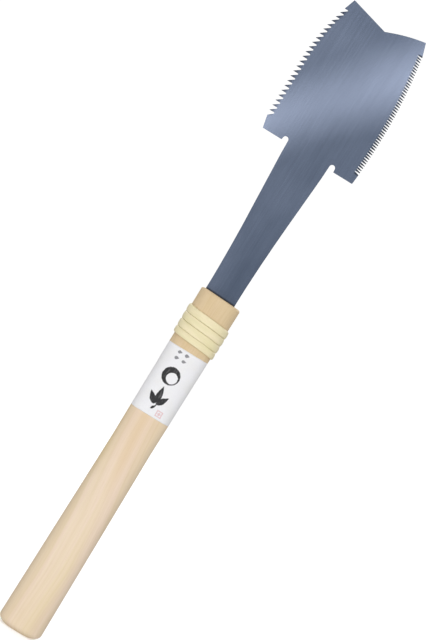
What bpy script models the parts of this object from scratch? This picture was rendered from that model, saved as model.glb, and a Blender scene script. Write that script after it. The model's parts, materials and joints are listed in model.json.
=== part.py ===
"""Double-edged pull saw: a toothed steel sheet in a wooden handle, bound with cane, with a paper label.

Metres, +Z up. The origin is the centre of the flat at the handle's butt. +Z runs along the handle to the
nose of the blade, which lies in the XZ plane. The coarse rip teeth face -X, the fine crosscut teeth +X.
The handle is a billet split beside the blade's back face, with the tang's slot cut in its front half.
"""
from math import cos, hypot, pi, radians, sin, sqrt, tan

import bmesh
import bpy
from mathutils import Matrix, Vector

MM = 0.001
GAP = 0.3 * MM                      # clearance between pieces that touch

# Handle: an oval billet, widest at the butt, waisted at mid length
HANDLE_LENGTH = 261.6 * MM
BUTT_HALF_WIDTH = 16.1 * MM
WAIST_HALF_WIDTH = 14.55 * MM
WAIST_Z = 150 * MM
HEAD_HALF_WIDTH = 15.35 * MM
DEPTH_RATIO = 0.76                  # thickness over width of the oval
OVAL_POWER = 2.5                    # 2 is an ellipse, and more is flatter on the broad sides
OVAL_SIDES = 72
SHAFT_STEPS = 14
BUTT_CROWN = 6 * MM                 # length over which the butt rounds in
BUTT_FLAT = 0.60                    # width of the flat at the butt, over the full width
BUTT_STEPS = 8
HEAD_ROUND = 1.5 * MM
HEAD_STEPS = 4
HEAD_RUN = 12 * MM                  # length over which the rings tilt to the head's slope
HEAD_SLOPE = radians(2.4)           # the head is cut a little lower on the +X side

# Steel sheet
SHEET = 0.65 * MM
BLADE_X = -1.2 * MM                 # the blade's middle stands this far off the handle's axis
NOSE_Z = 480.0 * MM
HEEL_Z = 374.0 * MM
NECK_BASE_HALF = 11.45 * MM
NECK_TOP_HALF = 16.4 * MM
NECK_STEPS = 14
TANG_DEPTH = 78 * MM
TANG_SHOULDER = 12 * MM            # the tang keeps its full width for this depth
TANG_END_HALF = 5 * MM
RELIEF_RADIUS = 2.0 * MM            # round notches where the heel meets the neck
RELIEF_RISE = 1.4 * MM              # height of a notch's centre over the heel
RELIEF_LIP = 0.2 * MM
HEEL_STEP = 0.8 * MM                # the heel is this much lower on the +X side
NOTCH_X = -0.7 * MM                 # bottom of the V cut in the nose
NOTCH_Z = 471.8 * MM
NOSE_RIGHT_X = 26.9 * MM
NOSE_LEFT_X = -29.0 * MM
NOSE_LEFT_Z = 479.4 * MM
NOSE_SWELL = 0.9 * MM               # the nose's +X edge stands out this much at its middle

# Coarse rip teeth, along -X
RIP_TEETH = 22
RIP_LOW_Z = 383.0 * MM
RIP_HIGH_Z = 471.2 * MM
RIP_LINE_X = -39.25 * MM            # the line of the points, where it is straight
RIP_BEND_Z = 427 * MM               # above this the line curves in to the nose
RIP_BEND_RADIUS = 134 * MM
RIP_TUCK = 0.6 * MM                 # the lowest corner stands in from the line by this much
RIP_HEEL_X = -36.7 * MM
RIP_DEPTH = 4.0 * MM
RIP_DEPTH_NOSE = 2.7 * MM
RIP_LAND = 0.18 * MM
RIP_GULLET = 0.7 * MM

# Fine crosscut teeth, along +X
CROSSCUT_TEETH = 48
CROSSCUT_LOW_Z = 380.4 * MM
CROSSCUT_HIGH_Z = 470.2 * MM
CROSSCUT_LINE_X = 35.8 * MM
CROSSCUT_MIDDLE_Z = 406 * MM        # the line of the points is an arc, furthest out here
CROSSCUT_RADIUS = 360 * MM
CROSSCUT_HEEL_X = 34.3 * MM
CROSSCUT_DEPTH = 3.6 * MM
CROSSCUT_LAND = 0.34 * MM
CROSSCUT_GULLET = 0.42 * MM
CROSSCUT_DROOP = 0.55 * MM          # the points lean this far towards the handle
CROSSCUT_BEVEL = 0.13 * MM          # sideways run of each filed facet across half the sheet

# Cane binding
CANE_TURNS = 4
CANE_PITCH = 5.6 * MM
CANE_WIDTH = 5.25 * MM
CANE_THICKNESS = 1.25 * MM
CANE_TOP_Z = 246.5 * MM             # middle of the cane where the winding starts, behind the handle
CANE_STEPS = 36

# Paper label
LABEL_LOW_Z = 169.8 * MM
LABEL_HIGH_Z = 219.5 * MM
LABEL_THICKNESS = 0.2 * MM
LABEL_ROWS = 4


def clear_scene():
    for item in list(bpy.data.objects):
        bpy.data.objects.remove(item, do_unlink=True)


def make_collection(name):
    group = bpy.data.collections.new(name)
    bpy.context.scene.collection.children.link(group)
    return group


def make_material(name, colour, roughness, metallic=0.0):
    material = bpy.data.materials.new(name)
    material.use_nodes = True
    shader = material.node_tree.nodes["Principled BSDF"]
    shader.inputs["Base Color"].default_value = (*colour, 1.0)
    shader.inputs["Roughness"].default_value = roughness
    shader.inputs["Metallic"].default_value = metallic
    return material


def add_object(name, mesh, group, material=None):
    item = bpy.data.objects.new(name, mesh)
    group.objects.link(item)
    if material:
        mesh.materials.clear()
        mesh.materials.append(material)
    return item


def mesh_from_bmesh(name, shape):
    bmesh.ops.recalc_face_normals(shape, faces=shape.faces)
    mesh = bpy.data.meshes.new(name)
    shape.to_mesh(mesh)
    shape.free()
    return mesh


def mesh_from_curve(curve_item):
    """The curve's evaluated shape as a closed mesh, in place of the curve."""
    bpy.context.view_layer.update()
    graph = bpy.context.evaluated_depsgraph_get()
    mesh = bpy.data.meshes.new_from_object(curve_item.evaluated_get(graph))
    mesh.transform(curve_item.matrix_world)
    bpy.data.objects.remove(curve_item, do_unlink=True)
    shape = bmesh.new()
    shape.from_mesh(mesh)
    bmesh.ops.remove_doubles(shape, verts=shape.verts, dist=1e-7)
    bmesh.ops.recalc_face_normals(shape, faces=shape.faces)
    shape.to_mesh(mesh)
    shape.free()
    return mesh


def hide_cutter(item):
    item.hide_render = True
    item.display_type = "WIRE"
    return item


def cut_with(item, cutter, operation="DIFFERENCE"):
    modifier = item.modifiers.new(cutter.name, "BOOLEAN")
    modifier.operation = operation
    modifier.solver = "EXACT"
    modifier.object = cutter


def smooth(item, angle):
    item.data.shade_smooth()
    item.data.set_sharp_from_angle(angle=radians(angle))


# ---------------------------------------------------------------- handle

def handle_half_width(z):
    """Half the handle's width at height z, before the ends are rounded."""
    if z < WAIST_Z:
        t = 1 - z / WAIST_Z
        return WAIST_HALF_WIDTH + (BUTT_HALF_WIDTH - WAIST_HALF_WIDTH) * t ** 1.7
    t = (z - WAIST_Z) / (HANDLE_LENGTH - WAIST_Z)
    return WAIST_HALF_WIDTH + (HEAD_HALF_WIDTH - WAIST_HALF_WIDTH) * t ** 1.6


def oval_point(angle, half_width, z, outward=0.0):
    """A point of the oval at one height, moved out square to the oval's line."""
    half_depth = half_width * DEPTH_RATIO
    c, s = cos(angle), sin(angle)
    fold = 2 / OVAL_POWER
    x = half_width * abs(c) ** fold * (1 if c >= 0 else -1)
    y = half_depth * abs(s) ** fold * (1 if s >= 0 else -1)
    slope = OVAL_POWER - 1
    nx = abs(x / half_width) ** slope / half_width * (1 if x >= 0 else -1)
    ny = abs(y / half_depth) ** slope / half_depth * (1 if y >= 0 else -1)
    length = hypot(nx, ny)
    return Vector((x + outward * nx / length, y + outward * ny / length, z))


def butt_stations():
    """Heights and scales of the rings that round the butt in, from the flat up."""
    start = (1 - sqrt(1 - BUTT_FLAT ** 3)) * BUTT_CROWN
    for step in range(BUTT_STEPS + 1):
        share = start / BUTT_CROWN + (1 - start / BUTT_CROWN) * (step / BUTT_STEPS) ** 1.8
        scale = (1 - (1 - share) ** 2) ** (1 / 3)
        yield share * BUTT_CROWN - start, scale


def head_stations():
    """Heights and insets of the rings that round the head's edge over."""
    for step in range(HEAD_STEPS + 1):
        angle = pi / 2 * step / HEAD_STEPS
        inset = HEAD_ROUND * (1 - cos(angle))
        yield HANDLE_LENGTH - HEAD_ROUND + HEAD_ROUND * sin(angle), inset


def handle_ring(z, scale=1.0, inset=0.0):
    """The oval at one height, tilted near the head so that +X is lower."""
    half_width = handle_half_width(max(z, BUTT_CROWN * 0.5)) * scale
    lean = max(0.0, (z - HANDLE_LENGTH + HEAD_RUN) / HEAD_RUN)
    ring = []
    for index in range(OVAL_SIDES):
        point = oval_point(2 * pi * (index + 0.5) / OVAL_SIDES, half_width, z, -inset)
        point.z -= point.x * tan(HEAD_SLOPE) * lean
        ring.append(point)
    return ring


def handle_mesh(name):
    """The whole handle: the butt's flat, pulled up ring by ring and resized at each."""
    rings = [handle_ring(z, scale) for z, scale in butt_stations()]
    first, last = 2 * BUTT_CROWN, HANDLE_LENGTH - HEAD_ROUND - HEAD_RUN
    rings += [handle_ring(first + (last - first) * i / SHAFT_STEPS) for i in range(SHAFT_STEPS + 1)]
    rings += [handle_ring(z, 1.0, inset) for z, inset in head_stations()]
    shape = bmesh.new()
    face = shape.faces.new([shape.verts.new(point) for point in rings[0]])
    for ring in rings[1:]:
        face = bmesh.ops.extrude_discrete_faces(shape, faces=[face])["faces"][0]
        for vert, point in zip(face.verts, ring):
            vert.co = point
    bmesh.ops.holes_fill(shape, edges=[edge for edge in shape.edges if edge.is_boundary])
    return mesh_from_bmesh(name, shape)


def box_cutter(name, group, low_y, high_y):
    """A box as long and wide as the handle and more, between two heights of Y."""
    shape = bmesh.new()
    bmesh.ops.create_cube(shape, size=1.0)
    size = Vector((80 * MM, high_y - low_y, HANDLE_LENGTH + 60 * MM))
    bmesh.ops.scale(shape, vec=size, verts=shape.verts)
    bmesh.ops.translate(shape, vec=(0, (low_y + high_y) / 2, HANDLE_LENGTH / 2), verts=shape.verts)
    return hide_cutter(add_object(name, mesh_from_bmesh(name, shape), group))


def slot_cutter(group):
    """The tang's slot, open towards the back half and at the head."""
    top = HANDLE_LENGTH + 20 * MM
    bottom = HANDLE_LENGTH - TANG_DEPTH - GAP
    half = [(TANG_END_HALF + GAP, bottom), (NECK_BASE_HALF + GAP, HANDLE_LENGTH - TANG_SHOULDER)]
    half.append((NECK_BASE_HALF + GAP, top))
    outline = [(BLADE_X + x, z) for x, z in half] + [(BLADE_X - x, z) for x, z in reversed(half)]
    depth = SHEET + 2 * GAP + 2 * MM
    mesh = mesh_from_curve(flat_outline("slot_cutter", [outline], depth, group))
    mesh.transform(Matrix.Translation((0, depth / 2 - SHEET / 2 - GAP, 0)))
    return hide_cutter(add_object("slot_cutter", mesh, group))


def make_handle(group, cutters):
    """Both halves of the handle, each the whole handle less what lies past the seam."""
    far = 40 * MM
    front_wood = make_material("front_wood", (0.76, 0.62, 0.44), 0.55)
    front = add_object("handle_front_half", handle_mesh("handle_front_half"), group, front_wood)
    cut_with(front, box_cutter("behind_seam", cutters, SHEET / 2, far))
    cut_with(front, slot_cutter(cutters))
    back_wood = make_material("back_wood", (0.74, 0.60, 0.42), 0.55)
    back = add_object("handle_back_half", handle_mesh("handle_back_half"), group, back_wood)
    cut_with(back, box_cutter("before_seam", cutters, -far, SHEET / 2 + GAP))
    smooth(front, 30)
    smooth(back, 30)


# ---------------------------------------------------------------- blade

def flat_outline(name, outlines, thickness, group):
    """A flat plate in the XZ plane, filled inside each outline of (x, z) points."""
    curve = bpy.data.curves.new(name, "CURVE")
    curve.dimensions = "2D"
    curve.fill_mode = "BOTH"
    curve.extrude = thickness / 2
    for outline in outlines:
        spline = curve.splines.new("POLY")
        spline.points.add(len(outline) - 1)
        for point, (x, z) in zip(spline.points, outline):
            point.co = (x, z, 0, 1)
        spline.use_cyclic_u = True
    item = bpy.data.objects.new(name, curve)
    group.objects.link(item)
    item.rotation_euler = (pi / 2, 0, 0)
    return item


def rip_point_x(z):
    """Where the line of the rip points runs: straight, then an arc in to the nose."""
    rise = max(0.0, z - RIP_BEND_Z)
    low = max(0.0, (RIP_LOW_Z + 4 * MM - z) / (4 * MM))
    return RIP_LINE_X + RIP_BEND_RADIUS - sqrt(RIP_BEND_RADIUS ** 2 - rise ** 2) + RIP_TUCK * low


def crosscut_point_x(z):
    """The line of the crosscut points, one long arc."""
    rise = z - CROSSCUT_MIDDLE_Z
    return CROSSCUT_LINE_X - CROSSCUT_RADIUS + sqrt(CROSSCUT_RADIUS ** 2 - rise ** 2)


def neck_half_width(z):
    """Half the neck's width: parallel at the handle, then widening in an S to the heel."""
    t = min(1.0, max(0.0, (z - HANDLE_LENGTH) / (HEEL_Z - HANDLE_LENGTH)))
    return NECK_BASE_HALF + (NECK_TOP_HALF - NECK_BASE_HALF) * (1 - (1 - t ** 1.9) ** 1.35)


def neck_heights():
    return [HANDLE_LENGTH + (HEEL_Z - HANDLE_LENGTH) * i / NECK_STEPS for i in range(NECK_STEPS)]


def relief_arc(side):
    """The round end of a relief notch, from the heel over to the neck."""
    x = BLADE_X + side * (NECK_TOP_HALF + RELIEF_RADIUS)
    top = HEEL_Z + RELIEF_RISE
    turn = [pi * step / 10 for step in range(11)]
    return [(x + side * RELIEF_RADIUS * cos(a), top + RELIEF_RADIUS * sin(a)) for a in turn]


def right_side():
    """The blade's outline from the tang's end up its +X side to the nose."""
    points = [(BLADE_X + TANG_END_HALF, HANDLE_LENGTH - TANG_DEPTH)]
    points.append((BLADE_X + NECK_BASE_HALF, HANDLE_LENGTH - TANG_SHOULDER))
    points += [(BLADE_X + neck_half_width(z), z) for z in neck_heights()]
    points += list(reversed(relief_arc(1)))
    points.append((BLADE_X + NECK_TOP_HALF + 2 * RELIEF_RADIUS + RELIEF_LIP, HEEL_Z - HEEL_STEP))
    points.append((CROSSCUT_HEEL_X, HEEL_Z - HEEL_STEP))
    span = CROSSCUT_HIGH_Z - CROSSCUT_LOW_Z
    steps = [CROSSCUT_LOW_Z + span * i / 16 for i in range(17)]
    points += [(crosscut_point_x(z), z) for z in steps]
    return points


def nose():
    """The nose from its +X corner, down to the V and up to its -X corner."""
    edge = []
    for step in range(8):
        t = step / 8
        x = NOSE_RIGHT_X + (NOTCH_X - NOSE_RIGHT_X) * t
        edge.append((x, NOSE_Z + (NOTCH_Z - NOSE_Z) * t + NOSE_SWELL * sin(pi * t)))
    return edge + [(NOTCH_X, NOTCH_Z), (NOSE_LEFT_X, NOSE_LEFT_Z)]


def left_side():
    """The blade's outline from the top rip tooth down its -X side to the tang."""
    span = RIP_HIGH_Z - RIP_LOW_Z
    steps = [RIP_HIGH_Z - span * i / 20 for i in range(21)]
    points = [(rip_point_x(z), z) for z in steps]
    points.append((RIP_HEEL_X, HEEL_Z))
    points.append((BLADE_X - NECK_TOP_HALF - 2 * RELIEF_RADIUS - RELIEF_LIP, HEEL_Z))
    points += relief_arc(-1)
    points += [(BLADE_X - neck_half_width(z), z) for z in reversed(neck_heights())]
    points.append((BLADE_X - NECK_BASE_HALF, HANDLE_LENGTH - TANG_SHOULDER))
    points.append((BLADE_X - TANG_END_HALF, HANDLE_LENGTH - TANG_DEPTH))
    return points


def rip_gullet(low, high):
    """One gullet between two rip points: square to the edge above, sloped below."""
    share = max(0.0, (low - RIP_BEND_Z) / (RIP_HIGH_Z - RIP_BEND_Z))
    depth = RIP_DEPTH + (RIP_DEPTH_NOSE - RIP_DEPTH) * share
    top, bottom = high - RIP_LAND / 2, low + RIP_LAND / 2
    outside = min(rip_point_x(low), rip_point_x(high)) - 0.5 * MM
    root = rip_point_x(high) + depth
    gullet = RIP_GULLET * depth / RIP_DEPTH
    return [(root, top - gullet), (root - 0.2 * MM, top), (outside, top), (outside, bottom),
            (rip_point_x(low), bottom)]


def crosscut_gullet(low, high):
    """One needle gullet: narrow at the root, which stands above its mouth."""
    middle = (low + high) / 2
    mouth = (high - low - CROSSCUT_LAND) / 2
    tip, outside = crosscut_point_x(middle), crosscut_point_x(middle) + 0.7 * MM
    root = tip - CROSSCUT_DEPTH
    lifted = middle + CROSSCUT_DROOP
    return [(root, lifted - CROSSCUT_GULLET / 2), (tip, middle - mouth), (outside, middle - mouth),
            (outside, middle + mouth), (tip, middle + mouth), (root, lifted + CROSSCUT_GULLET / 2)]


def gullets(rule, low, high, teeth):
    """An outline for each gap between the heel corner, the teeth and the nose corner."""
    step = (high - low) / (teeth + 1)
    return [rule(low + step * i, low + step * (i + 1)) for i in range(teeth + 1)]


def gullet_cutter(name, outlines, slant, group):
    """Cutters for the given gullets, leaning along Z as they pass through the sheet."""
    thickness = 1.2 * SHEET
    mesh = mesh_from_curve(flat_outline(name, outlines, thickness, group))
    lean = Matrix.Identity(4)
    lean[2][1] = slant / (SHEET / 2)
    mesh.transform(lean)
    return hide_cutter(add_object(name, mesh, group))


def make_blade(group, cutters):
    """The steel sheet, with its gullets filed out. Neighbouring fine gullets lean opposite ways."""
    steel = make_material("steel", (0.17, 0.20, 0.27), 0.32, 0.9)
    outline = right_side() + nose() + left_side()
    plate = mesh_from_curve(flat_outline("plate", [outline], SHEET, group))
    blade = add_object("saw_blade", plate, group, steel)
    rip = gullets(rip_gullet, RIP_LOW_Z, RIP_HIGH_Z, RIP_TEETH)
    cut_with(blade, gullet_cutter("rip_gullets", rip, 0.0, cutters))
    fine = gullets(crosscut_gullet, CROSSCUT_LOW_Z, CROSSCUT_HIGH_Z, CROSSCUT_TEETH)
    cut_with(blade, gullet_cutter("front_filed_gullets", fine[0::2], CROSSCUT_BEVEL, cutters))
    cut_with(blade, gullet_cutter("back_filed_gullets", fine[1::2], -CROSSCUT_BEVEL, cutters))


# ---------------------------------------------------------------- cane binding

def cane_section(group):
    """The split cane's section: flat on the wood, domed outside."""
    curve = bpy.data.curves.new("cane_section", "CURVE")
    curve.dimensions = "2D"
    spline = curve.splines.new("POLY")
    dome = [pi * step / 8 for step in range(9)]
    points = [(CANE_THICKNESS * sin(a) ** 0.6, CANE_WIDTH / 2 * cos(a)) for a in dome]
    spline.points.add(len(points) - 1)
    for point, (x, y) in zip(spline.points, points):
        point.co = (x, y, 0, 1)
    spline.use_cyclic_u = True
    item = bpy.data.objects.new("cane_section", curve)
    group.objects.link(item)
    return hide_cutter(item)


def make_binding(group, cutters):
    """One cane, wound down the handle from the middle of its back, with thinned ends."""
    curve = bpy.data.curves.new("rattan_binding", "CURVE")
    curve.dimensions = "3D"
    curve.twist_mode = "Z_UP"
    curve.bevel_mode = "OBJECT"
    curve.bevel_object = cane_section(cutters)
    curve.use_fill_caps = True
    count = CANE_TURNS * CANE_STEPS
    spline = curve.splines.new("POLY")
    spline.points.add(count)
    for index, point in enumerate(spline.points):
        z = CANE_TOP_Z - CANE_PITCH * index / CANE_STEPS
        angle = pi / 2 + 2 * pi * index / CANE_STEPS
        place = oval_point(angle, handle_half_width(z), z, GAP)
        point.co = (*place, 1)
        end = min(index, count - index) / (CANE_STEPS / 8)
        point.radius = 0.55 + 0.45 * min(1.0, end)
    item = bpy.data.objects.new("rattan_binding", curve)
    group.objects.link(item)
    cane = make_material("cane", (0.83, 0.74, 0.48), 0.4)
    binding = add_object("rattan_binding", mesh_from_curve(item), group, cane)
    smooth(binding, 50)


# ---------------------------------------------------------------- label

def make_label(group):
    """A band of paper round the handle, following its taper."""
    shape = bmesh.new()
    bmesh.ops.create_grid(shape, x_segments=OVAL_SIDES, y_segments=LABEL_ROWS, size=0.5)
    for vert in shape.verts:
        turn, rise = vert.co.x + 0.5, vert.co.y + 0.5
        z = LABEL_LOW_Z + (LABEL_HIGH_Z - LABEL_LOW_Z) * rise
        vert.co = oval_point(pi / 2 + 2 * pi * turn, handle_half_width(z), z, GAP)
    bmesh.ops.remove_doubles(shape, verts=shape.verts, dist=1e-6)
    paper = make_material("paper", (0.82, 0.82, 0.86), 0.7)
    label = add_object("paper_label", mesh_from_bmesh("paper_label", shape), group, paper)
    solidify = label.modifiers.new("thickness", "SOLIDIFY")
    solidify.thickness = LABEL_THICKNESS
    solidify.offset = 1
    smooth(label, 40)


def main():
    clear_scene()
    parts = make_collection("double_edged_pull_saw")
    cutters = make_collection("cutters")
    make_handle(parts, cutters)
    make_blade(parts, cutters)
    make_binding(parts, cutters)
    make_label(parts)


main()
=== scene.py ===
import json
from math import cos, pi, radians, sin, sqrt

import bmesh
import bpy
from mathutils import Matrix, Vector, noise

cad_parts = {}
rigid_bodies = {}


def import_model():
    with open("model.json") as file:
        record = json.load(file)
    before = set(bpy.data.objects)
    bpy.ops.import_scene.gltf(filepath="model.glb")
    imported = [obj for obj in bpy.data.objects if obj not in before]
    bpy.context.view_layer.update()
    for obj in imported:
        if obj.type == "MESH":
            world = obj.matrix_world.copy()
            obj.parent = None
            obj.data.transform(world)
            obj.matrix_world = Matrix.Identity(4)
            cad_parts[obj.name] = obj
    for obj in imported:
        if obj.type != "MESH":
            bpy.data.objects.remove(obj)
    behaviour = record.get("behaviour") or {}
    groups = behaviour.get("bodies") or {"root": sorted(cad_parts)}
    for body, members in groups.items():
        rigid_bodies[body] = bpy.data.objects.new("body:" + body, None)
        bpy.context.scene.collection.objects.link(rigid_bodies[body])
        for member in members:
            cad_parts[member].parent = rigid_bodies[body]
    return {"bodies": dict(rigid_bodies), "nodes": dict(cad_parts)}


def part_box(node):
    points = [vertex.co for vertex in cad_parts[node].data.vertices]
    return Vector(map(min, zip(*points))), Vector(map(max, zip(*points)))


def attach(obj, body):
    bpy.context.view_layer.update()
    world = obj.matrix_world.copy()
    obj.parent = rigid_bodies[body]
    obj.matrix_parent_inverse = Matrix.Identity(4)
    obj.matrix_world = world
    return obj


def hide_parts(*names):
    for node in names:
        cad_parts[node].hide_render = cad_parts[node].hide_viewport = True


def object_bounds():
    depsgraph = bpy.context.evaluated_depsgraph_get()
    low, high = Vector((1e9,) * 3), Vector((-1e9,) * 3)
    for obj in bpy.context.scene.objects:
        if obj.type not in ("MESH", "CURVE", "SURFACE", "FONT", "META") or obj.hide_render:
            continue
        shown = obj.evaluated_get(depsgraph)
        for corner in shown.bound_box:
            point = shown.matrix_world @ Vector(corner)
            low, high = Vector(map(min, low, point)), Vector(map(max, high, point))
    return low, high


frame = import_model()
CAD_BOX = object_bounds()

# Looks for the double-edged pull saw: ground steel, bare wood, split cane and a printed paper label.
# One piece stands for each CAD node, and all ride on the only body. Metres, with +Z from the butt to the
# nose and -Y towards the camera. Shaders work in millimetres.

MM = 0.001

BODY = next(iter(frame["bodies"]))
SHEET_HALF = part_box("saw_blade")[1].y            # half the steel's thickness
HANDLE_LENGTH = 261.6 * MM

# Teeth, as in the CAD
RIP_LOW_Z, RIP_HIGH_Z, RIP_TEETH = 383.0 * MM, 471.2 * MM, 22
RIP_LINE_X, RIP_BEND_Z, RIP_BEND_RADIUS = -39.25 * MM, 427 * MM, 134 * MM
RIP_DEPTH, RIP_DEPTH_NOSE = 4.0 * MM, 2.7 * MM
RIP_SET = 0.15 * MM                              # the points are bent out to either side in turn
CROSSCUT_LOW_Z, CROSSCUT_HIGH_Z, CROSSCUT_TEETH = 380.4 * MM, 470.2 * MM, 48
CROSSCUT_LINE_X, CROSSCUT_MIDDLE_Z, CROSSCUT_RADIUS = 35.8 * MM, 406 * MM, 360 * MM
CROSSCUT_DEPTH = 3.6 * MM
CROSSCUT_SET = 0.12 * MM
ROOT_SHARES = (0.75, 1.15)                       # the gullets' roots lie this far in, over the teeth's depth
POINT_SHARE = 0.5                                # and the points within this share of it

# Handle
BUTT_HALF_WIDTH, WAIST_HALF_WIDTH, HEAD_HALF_WIDTH = 16.1 * MM, 14.55 * MM, 15.35 * MM
WAIST_Z = 150 * MM
BUTT_FLARE, HEAD_FLARE = 1.7, 1.6                # powers: more keeps the waist long and flares it late
DEPTH_RATIO = 0.76                               # thickness over width
OVAL_POWER = 2.5                                 # 2 is an ellipse, and more is squarer
SEAM_GAP = 0.04 * MM                             # what is left of the glued seam

# Cane binding
CANE_TURNS, CANE_PITCH = 4, 5.6 * MM
CANE_WIDTH, CANE_THICKNESS = 5.56 * MM, 1.45 * MM
CANE_TOP_Z = 246.5 * MM                          # middle of the cane where the winding starts, behind
CANE_STEPS = 120                                 # along one turn
CANE_SIDES = 14                                  # across the dome
CANE_LIFT = 0.05 * MM                            # clear of the wood
CANE_TILT = 0.03                                 # the turns lie a little lower on the +X side
CANE_TRIM = 0.7 * MM                             # the last turn's free edge is shaved back by this much
CANE_MAP = (380.0, 6.0)                          # millimetres along and across the strand's map
CANE_DOME = 0.38                                 # power of the dome's rise: less is flatter on top
CANE_END_SIZE = 0.35                             # the ends' size, over the full one
CANE_TUCK = 0.3                                  # the ends slip under the next turn by this much of the pitch
CANE_WOBBLE = 0.07 * MM
CANE_UNEVEN = 0.012                              # of its width

# Paper label
LABEL_LOW_Z, LABEL_HIGH_Z = 169.8 * MM, 219.5 * MM
PAPER_LIFT, PAPER_THICKNESS = 0.06 * MM, 0.09 * MM
PAPER_LAP_GAP = 0.02 * MM
PAPER_SIDES, PAPER_ROWS = 144, 60
PAPER_OVERLAP = radians(34)
PAPER_LAP_RISE = 0.12                            # the angle over which the lapped end climbs, in radians
PAPER_RAGGED = 0.10 * MM                         # how far its top and bottom edges waver
PAPER_RIPPLE = 0.035 * MM

# Edges softened by bevels
STEEL_EDGE, WOOD_EDGE = 0.04 * MM, 0.12 * MM
BEVEL_ANGLE = radians(35)                        # flatter edges stay as they are

# Places in the shaders, in millimetres
HEAD_FALL = 0.042                                # fall of the head's cut for each millimetre towards +X
CUT_LOW_Z, CUT_HIGH_Z = 261.25, 261.5            # its end grain starts here
SEAT_LOW_Z, SEAT_HIGH_Z = 262.2, 263.4           # the painted shadow line where the steel enters the wood
RIP_DARK_LOW_Z, RIP_DARK_FULL_Z = 383.2, 384.6   # the tooth points are dark from here up
FINE_DARK_LOW_Z, FINE_DARK_FULL_Z = 379.4, 380.4
DARK_TOP_Z, DARK_END_Z = 470.6, 471.4            # and up to here
PAINTED_BAND_Z, PAINTED_BAND_CLIMB = 421.5, 1.1                # the painted reflection band's middle at X 0, and its slope
PAINTED_BAND_BELOW = 48.0                               # how far it reaches towards the handle
NECK_GLOW_Z = 343.0                              # a faint painted highlight across the neck
FLAME_X, STRAW_X = 12.6, -1.0                    # two long streaks in the wood
RING_SPACING = 1.6                               # growth rings, on average
WOOD_HEART = (-48.0, 24.0)                       # the growth rings' middle, outside the handle

# Ornaments on the label, as (x, z) in millimetres
RING_MIDDLE, RING_RADIUS, RING_WIDTH = (-0.8, 199.2), 5.1, 2.9
SPRIG = (((-1.7, 178.2), (-7.9, 185.4)), ((-1.1, 179.2), (-1.7, 191.4)), ((-0.3, 178.4), (5.2, 186.2)))
SPRIG_LEAF, STALK_THICK = 3.9, 1.5
STALK = ((-2.2, 174.4), (0.4, 178.2))
SMALL_LEAVES_X, SMALL_LEAVES_Z = (-4.7, 0.8), (216.4, 212.0)
SMALL_LEAF_HALF, SMALL_LEAF_RISE, SMALL_LEAF_THICK = 1.5, 0.6, 2.0
SEAL_MIDDLE, SEAL_SIZE, SEAL_LINE, SEAL_SPOT = (5.0, 173.8), 3.8, 0.7, 1.3

# Studio
FLOOR_RADIUS = 8.0
DOME_RADIUS = 1.05 * FLOOR_RADIUS
STUDIO_LEVEL = 0.76                              # how light the floor and the dome are
FLOOR_GLOW = (0.39, 0.64)                        # the floor's own light near the saw, and far from it
DOME_GLOW = 0.62                                 # the dome's own light
GLOW_NEAR, GLOW_FAR = 500, 4000                  # millimetres from the origin
WORLD_LEVELS = (0.49, 0.58)                      # straight up from below, and straight down from above
WORLD_COLOUR = (1.0, 0.995, 0.985, 1)
LAMP_DISTANCE = 2.6
LAMPS = (                                        # name, azimuth, elevation, size in metres, power in watts
    ("key_left", -16, 40, 1.6, 12.5),
    ("key_right", 20, 40, 1.6, 11.5),
    ("bounce", -4, -36, 1.4, 28),
    ("back_left", -148, 34, 1.6, 18),
    ("back_right", 148, 34, 1.6, 18),
)

# Camera
CAMERA_PLACE = Vector((0.0030, -1.613, 0.2466))
CAMERA_LENS, CAMERA_SENSOR = 135, 36
CAMERA_ROLL = radians(-31.655)                   # about the line of sight


# ---------------------------------------------------------------- shader helper

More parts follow.
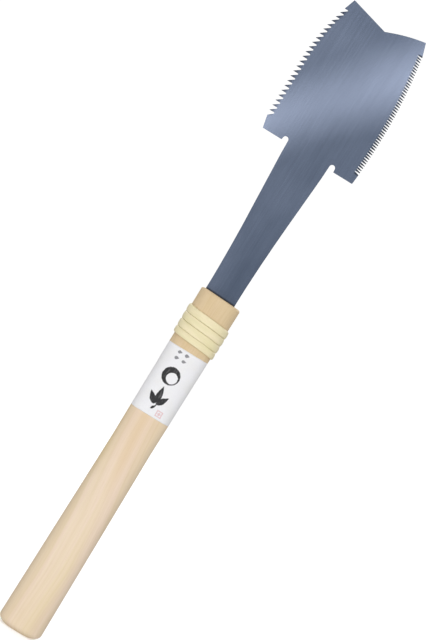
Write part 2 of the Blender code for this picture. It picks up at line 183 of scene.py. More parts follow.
class Shader:
    """A material under construction. Values are numbers, colours or sockets."""

    def __init__(self, name, roughness=0.5, metallic=0.0):
        self.material = bpy.data.materials.new(name)
        self.material.use_nodes = True
        self.tree = self.material.node_tree
        self.surface = self.tree.nodes["Principled BSDF"]
        self.surface.inputs["Roughness"].default_value = roughness
        self.surface.inputs["Metallic"].default_value = metallic
        place = self.tree.nodes.new("ShaderNodeTexCoord").outputs["Object"]
        self.place = self.vector("SCALE", place, scale=1000.0)      # millimetres
        parts = self.tree.nodes.new("ShaderNodeSeparateXYZ")
        self.feed(self.place, parts.inputs[0])
        self.x, self.y, self.z = parts.outputs

    def feed(self, value, socket):
        if isinstance(value, bpy.types.NodeSocket):
            self.tree.links.new(value, socket)
        else:
            socket.default_value = value

    def math(self, operation, first, second=0.0, third=0.0, clamp=False):
        node = self.tree.nodes.new("ShaderNodeMath")
        node.operation = operation
        node.use_clamp = clamp
        for value, socket in zip((first, second, third), node.inputs):
            self.feed(value, socket)
        return node.outputs[0]

    def vector(self, operation, first, second=(0, 0, 0), scale=1.0):
        node = self.tree.nodes.new("ShaderNodeVectorMath")
        node.operation = operation
        self.feed(first, node.inputs[0])
        self.feed(second, node.inputs[1])
        self.feed(scale, node.inputs[3])             # the scale, which only SCALE uses
        return node.outputs["Value" if operation == "LENGTH" else "Vector"]

    def combine(self, x, y, z):
        node = self.tree.nodes.new("ShaderNodeCombineXYZ")
        for value, socket in zip((x, y, z), node.inputs):
            self.feed(value, socket)
        return node.outputs[0]

    def noise(self, place, scale=1.0, detail=2.0, rough=0.5, stretch=(1, 1, 1)):
        node = self.tree.nodes.new("ShaderNodeTexNoise")
        self.feed(self.vector("MULTIPLY", place, stretch), node.inputs["Vector"])
        node.inputs["Scale"].default_value = scale
        node.inputs["Detail"].default_value = detail
        node.inputs["Roughness"].default_value = rough
        return node.outputs["Fac"]

    def step(self, value, low, high, bottom=0.0, top=1.0):
        """A smooth step from bottom to top as value goes from low to high."""
        node = self.tree.nodes.new("ShaderNodeMapRange")
        node.interpolation_type = "SMOOTHSTEP"
        for item, socket in zip((value, low, high, bottom, top), node.inputs):
            self.feed(item, socket)
        return node.outputs["Result"]

    def mix(self, factor, first, second):
        """A colour that goes from first to second as factor goes from 0 to 1."""
        node = self.tree.nodes.new("ShaderNodeMix")
        node.data_type = "RGBA"
        self.feed(factor, node.inputs["Factor"])
        self.feed(first, node.inputs[6])             # the colour sockets have no names of their own
        self.feed(second, node.inputs[7])
        return node.outputs[2]

    def bump(self, height, strength, distance):
        node = self.tree.nodes.new("ShaderNodeBump")
        node.inputs["Strength"].default_value = strength
        node.inputs["Distance"].default_value = distance
        self.feed(height, node.inputs["Height"])
        self.tree.links.new(node.outputs[0], self.surface.inputs["Normal"])

    def use(self, socket, value):
        self.feed(value, self.surface.inputs[socket])


def colour(red, green, blue):
    """An sRGB colour of 0 to 255 as the linear colour that shaders take."""
    parts = [part / 255 for part in (red, green, blue)]
    linear = [p / 12.92 if p <= 0.04045 else ((p + 0.055) / 1.055) ** 2.4 for p in parts]
    return (*linear, 1.0)


# ---------------------------------------------------------------- palette

# Steel from dark to bright: the bright end is reached in the painted reflection band
STEEL_DARK, STEEL_BRIGHT = (0.146, 0.188, 0.276, 1), (0.535, 0.630, 0.860, 1)
STEEL_POINTS_DARK = (0.035, 0.042, 0.055, 1)
SEAT_SHADOW = (0.03, 0.028, 0.025, 1)

WOOD_PALE, WOOD_CREAM = colour(230, 212, 187), colour(223, 204, 174)
WOOD_YELLOW, WOOD_PINK = colour(224, 208, 166), colour(232, 210, 196)
WOOD_FLAME, WOOD_STRAW = colour(222, 196, 162), colour(221, 202, 152)
WOOD_UPPER, WOOD_BUTT_SHADE = colour(218, 192, 152), colour(212, 188, 154)
WOOD_LATE, WOOD_FIBRE, WOOD_PORE = colour(203, 166, 122), colour(208, 182, 148), colour(165, 128, 90)
HEAD_WOOD, HEAD_FIBRE = colour(214, 191, 151), colour(186, 156, 108)
END_GRAIN, END_LATE = colour(186, 150, 106), colour(160, 118, 76)

CANE_CROWN, CANE_STRAW, CANE_EDGE = colour(236, 224, 188), colour(228, 219, 176), colour(208, 204, 150)
CANE_FIBRE, CANE_FLECK = colour(214, 200, 150), colour(176, 148, 92)

PAPER_WHITE, PAPER_PULP, PAPER_WARM = colour(235, 235, 238), colour(228, 228, 232), colour(230, 229, 226)
INK_BLACK, INK_GREY, INK_RED = colour(26, 26, 30), colour(95, 95, 100), colour(205, 90, 95)


# ---------------------------------------------------------------- pieces

def node_shape(node):
    """The CAD node's shape as a bmesh, with its flat faces whole again."""
    shape = bmesh.new()
    shape.from_mesh(frame["nodes"][node].data)
    bmesh.ops.remove_doubles(shape, verts=shape.verts, dist=1e-6)
    bmesh.ops.dissolve_limit(shape, angle_limit=radians(0.5), verts=shape.verts, edges=shape.edges)
    return shape


def add_piece(name, shape, material, node):
    """A piece that stands for a CAD node, from a bmesh."""
    mesh = bpy.data.meshes.new(name)
    bmesh.ops.recalc_face_normals(shape, faces=shape.faces)
    shape.to_mesh(mesh)
    shape.free()
    mesh.materials.append(material)
    piece = bpy.data.objects.new(name, mesh)
    bpy.context.scene.collection.objects.link(piece)
    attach(piece, BODY)
    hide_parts(node)
    return piece


def soften_edges(piece, width):
    bevel = piece.modifiers.new("soft_edges", "BEVEL")
    bevel.width = width
    bevel.segments = 2
    bevel.limit_method = "ANGLE"
    bevel.angle_limit = BEVEL_ANGLE


def smooth(piece, angle):
    piece.data.shade_smooth()
    piece.data.set_sharp_from_angle(angle=radians(angle))


# ---------------------------------------------------------------- blade

def rip_depth(z, x):
    """How far a point stands in from the line of the coarse points, over the teeth's depth there."""
    rise = max(0.0, z - RIP_BEND_Z)
    line = RIP_LINE_X + RIP_BEND_RADIUS - sqrt(RIP_BEND_RADIUS ** 2 - rise ** 2)
    share = rise / (RIP_HIGH_Z - RIP_BEND_Z)
    return (x - line) / (RIP_DEPTH + (RIP_DEPTH_NOSE - RIP_DEPTH) * share)


def crosscut_depth(z, x):
    """The same for the fine points."""
    rise = z - CROSSCUT_MIDDLE_Z
    line = CROSSCUT_LINE_X - CROSSCUT_RADIUS + sqrt(CROSSCUT_RADIUS ** 2 - rise ** 2)
    return (line - x) / CROSSCUT_DEPTH


def part_teeth(shape, depth, low, high):
    """Splits each tooth's broad faces from the plate along the line between its gullets."""
    for side in (-1, 1):
        roots = [v for v in shape.verts if v.co.y * side > 0 and low < v.co.z < high
                 and ROOT_SHARES[0] < depth(v.co.z, v.co.x) < ROOT_SHARES[1]]
        roots.sort(key=lambda v: v.co.z)
        for lower, upper in zip(roots[1::2], roots[2::2]):
            plate = next(f for f in lower.link_faces if upper in f.verts[:])
            bmesh.utils.face_split(plate, lower, upper)


def set_teeth(shape, depth, low, high, teeth, amount):
    """Bends the points out to the front and the back in turn."""
    pitch = (high - low) / (teeth + 1)
    for vert in shape.verts:
        number = round((vert.co.z - low) / pitch)
        if 1 <= number <= teeth and depth(vert.co.z, vert.co.x) < POINT_SHARE:
            vert.co.y += amount if number % 2 else -amount


def make_blade(material):
    shape = node_shape("saw_blade")
    part_teeth(shape, rip_depth, RIP_LOW_Z, RIP_HIGH_Z)
    part_teeth(shape, crosscut_depth, CROSSCUT_LOW_Z, CROSSCUT_HIGH_Z)
    set_teeth(shape, rip_depth, RIP_LOW_Z, RIP_HIGH_Z, RIP_TEETH, RIP_SET)
    set_teeth(shape, crosscut_depth, CROSSCUT_LOW_Z, CROSSCUT_HIGH_Z, CROSSCUT_TEETH, CROSSCUT_SET)
    blade = add_piece("blade", shape, material, "saw_blade")
    soften_edges(blade, STEEL_EDGE)


# ---------------------------------------------------------------- handle

def half_width(z):
    """Half the handle's width at height z."""
    if z < WAIST_Z:
        return WAIST_HALF_WIDTH + (BUTT_HALF_WIDTH - WAIST_HALF_WIDTH) * (1 - z / WAIST_Z) ** BUTT_FLARE
    share = (z - WAIST_Z) / (HANDLE_LENGTH - WAIST_Z)
    return WAIST_HALF_WIDTH + (HEAD_HALF_WIDTH - WAIST_HALF_WIDTH) * share ** HEAD_FLARE


def oval(angle, z):
    """The handle's surface at an angle round it and a height: the point, and the outward direction."""
    wide = half_width(z)
    deep = wide * DEPTH_RATIO
    c, s = cos(angle), sin(angle)
    x = wide * abs(c) ** (2 / OVAL_POWER) * (1 if c >= 0 else -1)
    y = deep * abs(s) ** (2 / OVAL_POWER) * (1 if s >= 0 else -1)
    slope = OVAL_POWER - 1
    out = Vector((abs(x / wide) ** slope / wide, abs(y / deep) ** slope / deep, 0))
    out.x *= 1 if x >= 0 else -1
    out.y *= 1 if y >= 0 else -1
    return Vector((x, y, z)), out.normalized()


def make_front_half(material):
    shape = node_shape("handle_front_half")
    half = add_piece("handle_front", shape, material, "handle_front_half")
    soften_edges(half, WOOD_EDGE)
    smooth(half, 30)


def make_back_half(material):
    """The back half, with its inner face brought up to the front half's."""
    shape = node_shape("handle_back_half")
    seam = min(v.co.y for v in shape.verts)
    for vert in shape.verts:
        if vert.co.y < seam + 0.01 * MM:
            vert.co.y = SHEET_HALF + SEAM_GAP
    half = add_piece("handle_back", shape, material, "handle_back_half")
    soften_edges(half, WOOD_EDGE)
    smooth(half, 30)


# ---------------------------------------------------------------- cane binding

def cane_ring(turn):
    """The cane's section at a number of turns from its start, which is behind the handle."""
    full = min(1.0, 7 * min(turn, CANE_TURNS - turn))            # 0 at either end, 1 a seventh of a turn in
    size = CANE_END_SIZE + (1 - CANE_END_SIZE) * full ** 0.5
    tuck = (1 - full) * CANE_TUCK * CANE_PITCH * (1 if turn > CANE_TURNS / 2 else -1)
    z = CANE_TOP_Z - CANE_PITCH * turn + tuck
    wobble = CANE_WOBBLE * noise.noise((turn * 2.3, 0.0, 4.0))
    width = CANE_WIDTH * size * (1 + CANE_UNEVEN * noise.noise((turn * 3.1, 2.0, 0.0)))
    point, out = oval(pi / 2 + 2 * pi * turn, z)
    trim = CANE_TRIM * min(1.0, max(0.0, turn - CANE_TURNS + 1) * 3) * size
    ring = []
    for step in range(CANE_SIDES + 1):
        angle = pi * step / CANE_SIDES
        high = CANE_THICKNESS * size * sin(angle) ** CANE_DOME
        across = (width / 2 - (trim if step > CANE_SIDES / 2 else 0.0)) * cos(angle)
        rise = across + wobble - CANE_TILT * point.x
        ring.append(point + out * (CANE_LIFT + high) + Vector((0, 0, rise)))
    return ring


def make_cane(material):
    """One split cane wound round the handle, with a map of its length and width."""
    shape = bmesh.new()
    layer = shape.loops.layers.uv.new("strand")
    count = CANE_TURNS * CANE_STEPS
    rings = [[shape.verts.new(p) for p in cane_ring(i / CANE_STEPS)] for i in range(count + 1)]
    for i in range(count):
        for j in range(CANE_SIDES + 1):
            k = (j + 1) % (CANE_SIDES + 1)
            face = shape.faces.new((rings[i][j], rings[i + 1][j], rings[i + 1][k], rings[i][k]))
            spots = ((i, j), (i + 1, j), (i + 1, j + 1), (i, j + 1))
            for loop, (along, over) in zip(face.loops, spots):
                loop[layer].uv = (along / count, over / (CANE_SIDES + 1))
    shape.faces.new(rings[0])
    shape.faces.new(list(reversed(rings[-1])))
    cane = add_piece("cane_binding", shape, material, "rattan_binding")
    smooth(cane, 50)


# ---------------------------------------------------------------- label

def make_label(material):
    """A strip of paper round the handle, its end lapped over its start behind."""
    shape = bmesh.new()
    rows = []
    for row in range(PAPER_ROWS + 1):
        rise = row / PAPER_ROWS
        line = []
        for side in range(PAPER_SIDES + 1):
            turn = side / PAPER_SIDES
            wound = (2 * pi + PAPER_OVERLAP) * turn
            ragged = PAPER_RAGGED * noise.noise((turn * 19, rise * 3, 1.0))
            z = LABEL_LOW_Z + (LABEL_HIGH_Z - LABEL_LOW_Z) * rise + ragged * abs(2 * rise - 1) ** 6
            point, out = oval(pi / 2 + wound, z)
            lapped = max(0.0, min(1.0, (wound - 2 * pi + PAPER_LAP_RISE) / PAPER_LAP_RISE))
            lift = PAPER_LIFT + (PAPER_THICKNESS + PAPER_LAP_GAP) * lapped
            lift += PAPER_RIPPLE * noise.noise((turn * 9, rise * 2.5, 7.0)) ** 2
            line.append(shape.verts.new(point + out * lift))
        rows.append(line)
    for low, high in zip(rows, rows[1:]):
        for i in range(PAPER_SIDES):
            shape.faces.new((low[i], low[i + 1], high[i + 1], high[i]))
    label = add_piece("label", shape, material, "paper_label")
    solid = label.modifiers.new("thickness", "SOLIDIFY")
    solid.thickness = PAPER_THICKNESS
    solid.offset = 1
    smooth(label, 40)


# ---------------------------------------------------------------- materials

def arc_line(s, flat_x, middle_z, radius, side):
    """The X of a toothed edge's line of points, in millimetres, at the shaded point's height."""
    rise = s.math("SUBTRACT", s.z, middle_z)
    if side < 0:
        rise = s.math("MAXIMUM", rise, 0.0)
    drop = s.math("SQRT", s.math("MULTIPLY_ADD", rise, s.math("MULTIPLY", rise, -1.0), radius ** 2))
    return s.math("MULTIPLY_ADD", drop, float(side), flat_x - side * radius)


def streak(s, value, middle, core, reach, strength):
    """A soft streak where value is about middle: full within core of it, and gone at reach."""
    off = s.math("ABSOLUTE", s.math("SUBTRACT", value, middle))
    return s.step(off, core, reach, strength, 0)


def darkened_points(s):
    """How far the outer part of the teeth is darkened, the fine ones most."""
    line = arc_line(s, RIP_LINE_X / MM, RIP_BEND_Z / MM, RIP_BEND_RADIUS / MM, -1)
    rip = s.step(s.math("SUBTRACT", s.x, line), 1.4, 4.4, 0.55, 0)
    rip = s.math("MULTIPLY", rip, s.step(s.z, RIP_DARK_LOW_Z, RIP_DARK_FULL_Z))
    line = arc_line(s, CROSSCUT_LINE_X / MM, CROSSCUT_MIDDLE_Z / MM, CROSSCUT_RADIUS / MM, 1)
    fine = s.step(s.math("SUBTRACT", line, s.x), 2.0, 4.2, 0.85, 0)
    fine = s.math("MULTIPLY", fine, s.step(s.z, FINE_DARK_LOW_Z, FINE_DARK_FULL_Z))
    return s.math("MULTIPLY", s.math("MAXIMUM", rip, fine), s.step(s.z, DARK_TOP_Z, DARK_END_Z, 1, 0))


def painted_reflection_band(s):
    """How bright the ground face is painted: a painted reflection band climbs across it from the rip heel to
    the other nose corner, with painted shade below it.
    """
    waver = s.noise(s.place, stretch=(0.03, 0.0, 0.03), detail=2)
    over = s.math("MULTIPLY_ADD", s.x, -PAINTED_BAND_CLIMB, s.math("ADD", s.z, -PAINTED_BAND_Z))
    over = s.math("ADD", over, s.math("MULTIPLY_ADD", waver, 5.0, -2.5))
    above = s.math("DIVIDE", over, s.math("MULTIPLY_ADD", s.x, 0.25, 50.0))      # reaches further at +X
    off = s.math("MAXIMUM", above, s.math("MULTIPLY", over, -1 / PAINTED_BAND_BELOW))
    right = s.math("ADD", s.x, 4.0)
    ridge = s.math("MULTIPLY_ADD", s.math("MULTIPLY", right, right), 0.00021, 0.735)
    rest = s.step(over, -12, 12, 0.14, 0.27)                                     # painted shade: darker below the band
    level = s.step(off, 0.0, 1.0, ridge, rest)
    level = s.math("ADD", level, s.step(s.z, 450, 478, 0.0, -0.10))              # painted shade: the nose is darker
    # A faint painted highlight across the neck, then painted shade on the neck next to the handle
    level = s.math("ADD", level, streak(s, s.z, NECK_GLOW_Z, 4, 20, 0.04))
    neck_shade = s.math("MULTIPLY", s.step(s.z, 275, 345, 0.12, 0.0), s.step(s.x, -9, 2))
    return s.math("SUBTRACT", level, neck_shade)


def steel():
    """Ground steel: hairlines along the blade, a painted reflection band across it, dark points and a painted
    shadow line at the seat.
    """
    s = Shader("saw_steel", roughness=0.32, metallic=1.0)
    hairs = s.noise(s.place, stretch=(0.8, 0.2, 0.012), detail=6, rough=0.72)
    cloud = s.noise(s.place, stretch=(0.07, 0.05, 0.04), detail=4, rough=0.6)
    # The steel's brightness: real hairlines and mottle, with the painted reflection band and painted shade on
    # top
    level = s.math("MULTIPLY_ADD", hairs, 0.26, s.math("MULTIPLY_ADD", cloud, 0.16, painted_reflection_band(s)))
    base = s.mix(s.math("ADD", level, -0.21), STEEL_DARK, STEEL_BRIGHT)
    # The outer part of the teeth is darker
    base = s.mix(darkened_points(s), base, STEEL_POINTS_DARK)
    # Painted shadow: a dark line where the steel enters the handle's slot
    seat = s.step(s.math("MULTIPLY_ADD", s.x, HEAD_FALL, s.z), SEAT_LOW_Z, SEAT_HIGH_Z, 1, 0)
    base = s.mix(s.math("MULTIPLY", seat, 0.75), base, SEAT_SHADOW)
    s.use("Base Color", base)
    s.use("Roughness", s.math("MULTIPLY_ADD", hairs, 0.12, 0.18))
    s.bump(s.math("MULTIPLY_ADD", cloud, 2.0, hairs), 0.15, 0.02 * MM)
    return s.material


def growth_rings(s):
    """X as the slanting grain has it, a map of the rings, and how far each spot is late wood."""
    slow = s.noise(s.place, stretch=(0.02, 0.02, 0.007), detail=2)
    lean = s.step(s.z, 40, 200, 0.0, 12.0)
    across = s.math("ADD", s.math("MULTIPLY_ADD", slow, 10.0, s.x), lean)
    out_x = s.math("SUBTRACT", across, WOOD_HEART[0])
    out_y = s.math("SUBTRACT", s.y, WOOD_HEART[1])
    rings = s.vector("LENGTH", s.combine(out_x, out_y, 0))
    grain = s.combine(rings, 0, s.math("MULTIPLY", s.z, 0.012))
    uneven = s.noise(s.combine(rings, 7, 0), 0.22, 2)
    turn = s.math("MULTIPLY_ADD", rings, 1 / RING_SPACING, s.math("MULTIPLY", uneven, 5.0))
    year = s.math("FRACT", turn)
    late = s.math("MULTIPLY", s.step(year, 0.30, 0.88), s.step(year, 0.92, 1.0, 1, 0))
    return across, grain, late


def wood_tints(s, across, grain, broad):
    """Broad tints, then two long streaks, then the two ends of the handle: a deeper tint above, and painted
    shade towards the butt.
    """
    yellow = s.noise(s.vector("ADD", grain, (40, 0, 0)), 0.17, 2)
    pink = s.noise(s.vector("ADD", grain, (80, 0, 0)), 0.14, 2)
    base = s.mix(s.step(broad, 0.36, 0.66), WOOD_PALE, WOOD_CREAM)
    base = s.mix(s.step(yellow, 0.50, 0.70, 0, 0.6), base, WOOD_YELLOW)
    base = s.mix(s.step(pink, 0.34, 0.52, 0.6, 0), base, WOOD_PINK)
    flame = s.math("MULTIPLY", streak(s, across, FLAME_X, 0.2, 5.0, 0.6), s.step(s.z, 98, 140))
    base = s.mix(flame, base, WOOD_FLAME)
    straw = s.math("MULTIPLY", streak(s, across, STRAW_X, 0.5, 5.0, 0.55), s.step(s.z, 110, 140))
    base = s.mix(straw, base, WOOD_STRAW)
    base = s.mix(s.step(s.z, 110, 168, 0, 0.22), base, WOOD_UPPER)
    # Painted shade: darker towards the butt, offsetting the bounce lamp's extra light there
    return s.mix(s.step(s.z, 0, 60, 0.22, 0), base, WOOD_BUTT_SHADE)


def wood_head(s, base, broad, fibre):
    """The yellower head, above an uneven line that is mostly under the label."""
    head = s.step(s.math("MULTIPLY_ADD", broad, 16.0, s.z), 210, 232)
    base = s.mix(s.math("MULTIPLY", head, 0.8), base, HEAD_WOOD)
    return s.mix(s.math("MULTIPLY", head, s.step(fibre, 0.42, 0.72, 0, 0.35)), base, HEAD_FIBRE)


def wood_ends(s, base, late):
    """End grain on the head's cut and on the butt."""
    cut = s.step(s.math("MULTIPLY_ADD", s.x, HEAD_FALL, s.z), CUT_LOW_Z, CUT_HIGH_Z)
    ends = s.math("MAXIMUM", cut, s.step(s.z, 0.3, 2.6, 1, 0))
    base = s.mix(s.math("MULTIPLY", ends, 0.35), base, END_GRAIN)
    return s.mix(s.math("MULTIPLY", ends, s.math("MULTIPLY", late, 0.22)), base, END_LATE)


def wood(name):
    """Pale straight-grained softwood: rings about a far heart, soft slanting streaks and a yellower head."""
    s = Shader(name, roughness=0.55)
    across, grain, late = growth_rings(s)
    broad = s.noise(grain, 0.24, 2)
    fibre = s.noise(s.place, stretch=(2.6, 2.6, 0.05), detail=5, rough=0.68)
    pores = s.step(s.noise(s.place, stretch=(6.0, 6.0, 0.22), detail=2), 0.62, 0.74)
    base = wood_tints(s, across, grain, broad)
    base = s.mix(s.math("MULTIPLY", late, 0.09), base, WOOD_LATE)
    base = s.mix(s.step(fibre, 0.40, 0.75, 0, 0.22), base, WOOD_FIBRE)
    base = s.mix(s.math("MULTIPLY", pores, 0.10), base, WOOD_PORE)
    base = wood_head(s, base, broad, fibre)
    s.use("Base Color", wood_ends(s, base, late))
    s.use("Roughness", s.math("MULTIPLY_ADD", fibre, 0.18, 0.46))
    s.surface.inputs["Specular IOR Level"].default_value = 0.3
    height = s.math("MULTIPLY_ADD", late, 0.5, s.math("MULTIPLY_ADD", pores, -0.7, fibre))
    s.bump(height, 0.25, 0.05 * MM)
    return s.material


def cane():
    """Split cane: a lightly glossy skin with fibres along it, pale crowns and straw-coloured edges."""
    s = Shader("rattan_cane", roughness=0.42)
    strand = s.tree.nodes.new("ShaderNodeUVMap")
    strand.uv_map = "strand"
    parts = s.tree.nodes.new("ShaderNodeSeparateXYZ")
    s.feed(strand.outputs[0], parts.inputs[0])
    along, over = parts.outputs[0], parts.outputs[1]
    line = s.combine(s.math("MULTIPLY", along, CANE_MAP[0]), s.math("MULTIPLY", over, CANE_MAP[1]), 0)
    fibre = s.noise(line, stretch=(0.06, 5.0, 1), detail=4, rough=0.6)
    patch = s.noise(line, stretch=(0.05, 0.25, 1), detail=3)
    fleck = s.step(s.noise(line, stretch=(0.35, 3.5, 1), detail=2), 0.66, 0.76)
    base = s.mix(s.step(patch, 0.32, 0.70), CANE_CROWN, CANE_STRAW)
    base = s.mix(s.step(fibre, 0.42, 0.72, 0, 0.35), base, CANE_FIBRE)
    base = s.mix(s.math("MULTIPLY", fleck, 0.22), base, CANE_FLECK)
    crown = CANE_SIDES / 2 / (CANE_SIDES + 1)        # the last step of the map is the flat underside
    off_crown = s.math("ABSOLUTE", s.math("SUBTRACT", over, crown))
    base = s.mix(s.step(off_crown, 0.32, 0.47, 0, 0.35), base, CANE_EDGE)
    s.use("Base Color", base)
    s.use("Roughness", s.math("MULTIPLY_ADD", fibre, 0.2, 0.30))
    s.surface.inputs["Coat Weight"].default_value = 0.15
    s.surface.inputs["Coat Roughness"].default_value = 0.3
    s.bump(s.math("MULTIPLY_ADD", fleck, -0.5, fibre), 0.35, 0.06 * MM)
    return s.material


def inside(s, distance, blur=0.14):
    """1 where a distance is under 0, and 0 outside, with a soft inked edge."""
    return s.step(distance, -blur, blur, 1, 0)


def join(s, masks):
    """The ornaments' masks as one."""
    total = masks[0]
    for mask in masks[1:]:
        total = s.math("MAXIMUM", total, mask)
    return total


def leaf(s, start, end, thick, ragged):
    """A brushed leaf between two (x, z) points, widest a little before its middle."""
    run = (end[0] - start[0], end[1] - start[1])
    square = run[0] ** 2 + run[1] ** 2
    dx = s.math("SUBTRACT", s.x, start[0])
    dz = s.math("SUBTRACT", s.z, start[1])
    share = s.math("MULTIPLY_ADD", dx, run[0] / square, s.math("MULTIPLY", dz, run[1] / square))
    share = s.math("ADD", share, 0.0, clamp=True)
    off_x = s.math("MULTIPLY_ADD", share, -run[0], dx)
    off_z = s.math("MULTIPLY_ADD", share, -run[1], dz)
    off = s.vector("LENGTH", s.combine(off_x, off_z, 0))
    swell = s.math("SINE", s.math("MULTIPLY", s.math("POWER", share, 0.75), pi))
    reach = s.math("MULTIPLY_ADD", swell, -thick / 2, -0.12)
    return inside(s, s.math("ADD", s.math("ADD", off, reach), ragged))


def brush_ring(s, middle, radius, width, ragged):
    """A brushed ring that thins on its lower right."""
    dx = s.math("SUBTRACT", s.x, middle[0])
    dz = s.math("SUBTRACT", s.z, middle[1])
    away = s.vector("LENGTH", s.combine(dx, dz, 0))
    turn = s.math("ARCTAN2", dz, dx)
    swell = s.math("MULTIPLY_ADD", s.math("COSINE", s.math("ADD", turn, 0.7)), -0.30 * width, 0.42 * width)
    off = s.math("ABSOLUTE", s.math("SUBTRACT", away, radius))
    return inside(s, s.math("ADD", s.math("SUBTRACT", off, swell), ragged))


def spot(s, middle, size, ragged):
    """A small diamond."""
    dx = s.math("ABSOLUTE", s.math("SUBTRACT", s.x, middle[0]))
    dz = s.math("ABSOLUTE", s.math("SUBTRACT", s.z, middle[1]))
    return inside(s, s.math("ADD", s.math("ADD", s.math("ADD", dx, dz), -size), ragged), 0.25)


def square_line(s, middle, size, width, ragged):
    """The outline of a square."""
    dx = s.math("ABSOLUTE", s.math("SUBTRACT", s.x, middle[0]))
    dz = s.math("ABSOLUTE", s.math("SUBTRACT", s.z, middle[1]))
    off = s.math("ABSOLUTE", s.math("SUBTRACT", s.math("MAXIMUM", dx, dz), size / 2))
    return inside(s, s.math("ADD", s.math("SUBTRACT", off, width / 2), ragged))


def ornaments(s):
    """Where the label is printed black, grey and red: a ring and a sprig, small leaves, and a seal."""
    ragged = s.math("MULTIPLY_ADD", s.noise(s.place, stretch=(1.1, 1, 1.1), detail=3), 0.9, -0.45)
    ring = brush_ring(s, RING_MIDDLE, RING_RADIUS, RING_WIDTH, ragged)
    leaves = [leaf(s, start, end, SPRIG_LEAF, ragged) for start, end in SPRIG]
    black = join(s, [ring, leaf(s, *STALK, STALK_THICK, ragged), *leaves])
    small = []
    for x in SMALL_LEAVES_X:
        for z in SMALL_LEAVES_Z:
            start, end = (x - SMALL_LEAF_HALF, z), (x + SMALL_LEAF_HALF, z + SMALL_LEAF_RISE)
            small.append(leaf(s, start, end, SMALL_LEAF_THICK, ragged))
    seal = square_line(s, SEAL_MIDDLE, SEAL_SIZE, SEAL_LINE, ragged)
    red = join(s, [seal, spot(s, SEAL_MIDDLE, SEAL_SPOT, ragged)])
    return black, join(s, small), red


def paper():
    """Soft white paper with pulp fibres, printed in front with plain brush ornaments."""
    s = Shader("label_paper", roughness=0.75)
    pulp = s.noise(s.place, stretch=(1.4, 1.4, 1.4), detail=5, rough=0.65)
    cloud = s.noise(s.place, stretch=(0.12, 0.12, 0.12), detail=2)
    base = s.mix(s.step(pulp, 0.3, 0.75), PAPER_WHITE, PAPER_PULP)
    base = s.mix(s.step(cloud, 0.4, 0.7, 0, 0.35), base, PAPER_WARM)

    black, grey, red = ornaments(s)
    front = s.step(s.y, -4, -2, 1, 0)
    fade = s.noise(s.place, stretch=(0.9, 1, 0.25), detail=2)
    base = s.mix(s.math("MULTIPLY", s.math("MULTIPLY", red, front), 0.4), base, INK_RED)
    base = s.mix(s.math("MULTIPLY", s.math("MULTIPLY", grey, front), 0.8), base, INK_GREY)
    ink = s.math("MULTIPLY", black, s.step(fade, 0.25, 0.5, 0.9, 1.0))
    base = s.mix(s.math("MULTIPLY", ink, front), base, INK_BLACK)
    s.use("Base Color", base)
    s.use("Roughness", s.math("MULTIPLY_ADD", black, -0.2, 0.78))
    s.bump(pulp, 0.25, 0.04 * MM)
    return s.material


# ---------------------------------------------------------------- studio

def studio_white(name):
    """A pale matt surface with a faint mottle, which can have some light of its own."""
    s = Shader(name, roughness=0.9)
    mottle = s.noise(s.place, stretch=(0.01, 0.01, 0.01), detail=2)
    light, dark = STUDIO_LEVEL, STUDIO_LEVEL * 0.98
    s.use("Base Color", s.mix(mottle, (light, light, light, 1), (dark, dark, dark, 1)))
    s.surface.inputs["Specular IOR Level"].default_value = 0.0
    s.surface.inputs["Emission Color"].default_value = (1, 1, 1, 1)
    return s


def add_stage(name, shape, material):
    """A part of the studio, seen by the camera only, so that it throws no light or shadow on the saw."""
    mesh = bpy.data.meshes.new(name)
    shape.to_mesh(mesh)
    shape.free()
    mesh.materials.append(material)
    item = bpy.data.objects.new(name, mesh)
    bpy.context.scene.collection.objects.link(item)
    item.visible_diffuse = False
    item.visible_glossy = False
    item.visible_transmission = False
    item.visible_shadow = False


def make_floor():
    """A round floor that gets lighter with distance."""
    s = studio_white("floor_white")
    s.use("Emission Strength", s.step(s.vector("LENGTH", s.place), GLOW_NEAR, GLOW_FAR, *FLOOR_GLOW))
    shape = bmesh.new()
    bmesh.ops.create_circle(shape, cap_ends=True, segments=64, radius=FLOOR_RADIUS)
    add_stage("floor", shape, s.material)


def make_backdrop():
    """A dome round the floor."""
    s = studio_white("backdrop_white")
    s.use("Emission Strength", DOME_GLOW)
    shape = bmesh.new()
    bmesh.ops.create_icosphere(shape, subdivisions=4, radius=DOME_RADIUS)
    add_stage("backdrop", shape, s.material)


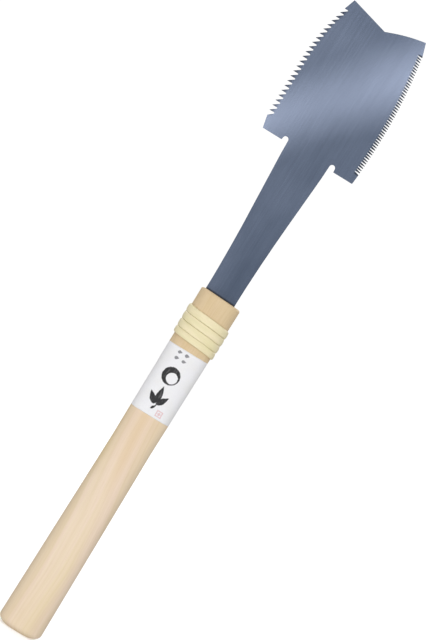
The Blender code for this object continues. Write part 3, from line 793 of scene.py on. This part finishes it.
def make_world():
    """Even studio light from all round, a little stronger from above."""
    world = bpy.data.worlds.new("studio")
    bpy.context.scene.world = world
    world.use_nodes = True
    nodes, links = world.node_tree.nodes, world.node_tree.links
    background = nodes["Background"]
    place = nodes.new("ShaderNodeTexCoord")
    parts = nodes.new("ShaderNodeSeparateXYZ")
    links.new(place.outputs["Generated"], parts.inputs[0])
    ramp = nodes.new("ShaderNodeMapRange")
    for value, socket in zip((-1.0, 1.0, *WORLD_LEVELS), ramp.inputs[1:5]):
        socket.default_value = value
    links.new(parts.outputs[2], ramp.inputs[0])
    links.new(ramp.outputs[0], background.inputs["Strength"])
    background.inputs["Color"].default_value = WORLD_COLOUR


def add_light(name, azimuth, elevation, size, power):
    """A soft square light that faces the middle of the saw. Azimuth 0 is in front, and 90 is at +X."""
    lamp = bpy.data.lights.new(name, "AREA")
    lamp.shape = "SQUARE"
    lamp.size = size
    lamp.energy = power
    light = bpy.data.objects.new(name, lamp)
    bpy.context.scene.collection.objects.link(light)
    a, e = radians(azimuth), radians(elevation)
    back = Vector((sin(a) * cos(e), -cos(a) * cos(e), sin(e)))
    middle = (CAD_BOX[0] + CAD_BOX[1]) / 2
    light.location = middle + back * LAMP_DISTANCE
    light.rotation_mode = "QUATERNION"
    light.rotation_quaternion = (-back).to_track_quat("-Z", "Y")


def make_camera():
    """Square on to the blade from in front, and rolled so that the saw leans to the right."""
    lens = bpy.data.cameras.new("camera")
    lens.lens = CAMERA_LENS
    lens.sensor_width = CAMERA_SENSOR
    lens.clip_start, lens.clip_end = 0.05, 30
    camera = bpy.data.objects.new("camera", lens)
    bpy.context.scene.collection.objects.link(camera)
    roll = Matrix.Rotation(CAMERA_ROLL, 4, "Y")
    camera.matrix_world = Matrix.Translation(CAMERA_PLACE) @ roll @ Matrix.Rotation(pi / 2, 4, "X")
    bpy.context.scene.camera = camera


def main():
    make_blade(steel())
    make_front_half(wood("front_wood"))
    make_back_half(wood("back_wood"))
    make_cane(cane())
    make_label(paper())
    make_floor()
    make_backdrop()
    make_world()
    for lamp in LAMPS:
        add_light(*lamp)
    make_camera()
    bpy.context.scene.view_settings.view_transform = "Standard"


main()
